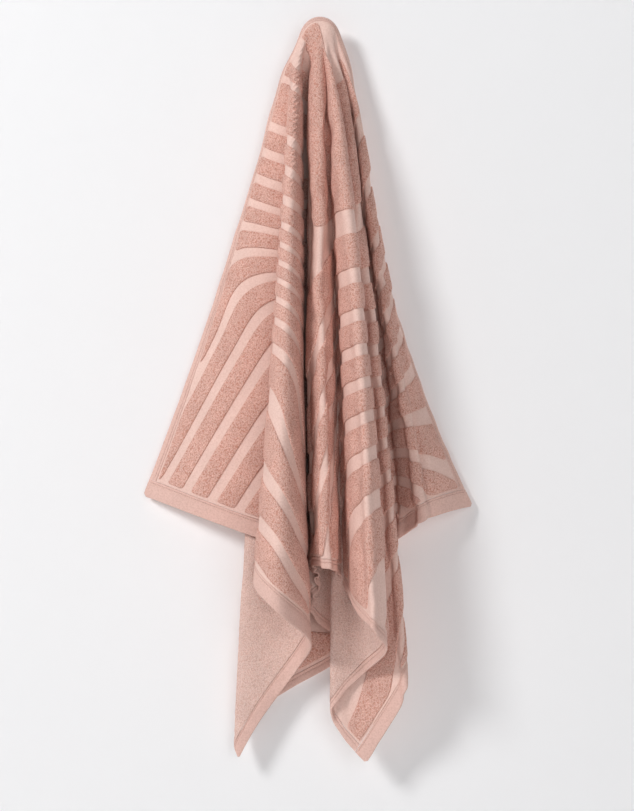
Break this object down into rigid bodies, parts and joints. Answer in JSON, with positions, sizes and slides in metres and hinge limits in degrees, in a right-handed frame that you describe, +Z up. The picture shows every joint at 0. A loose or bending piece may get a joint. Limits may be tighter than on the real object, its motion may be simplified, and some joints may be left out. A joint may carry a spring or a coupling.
{
  "type": "hanging bath towel",
  "caption": "Terry bath towel with raised pile bands, hung by its sewn loop from one point at the middle of a long side, falling in deep pleats.",
  "frame": {"origin": "the inside top of the hanging loop, where it sits on a peg", "axes": "+Z up, the front of the towel faces -Y and the wall is on the +Y side"},
  "size_m": [0.4632, 0.1831, 1.0317],
  "materials": {
    "terry": "looped cotton terry, dusty pink",
    "woven_hem": "flat woven cotton, pale pink",
    "thread": "sewing thread",
    "tape": "flat woven cotton tape"
  },
  "bodies": {
    "root": {"terry_cloth": "terry", "left_end_hem": "woven_hem", "right_end_hem": "woven_hem", "top_side_hem": "woven_hem", "bottom_side_hem": "woven_hem", "left_end_stitching": "thread", "right_end_stitching": "thread", "top_side_stitching": "thread", "bottom_side_stitching": "thread", "hanging_loop": "tape", "left_loop_tack": "thread", "right_loop_tack": "thread"}
  },
  "joints": []
}
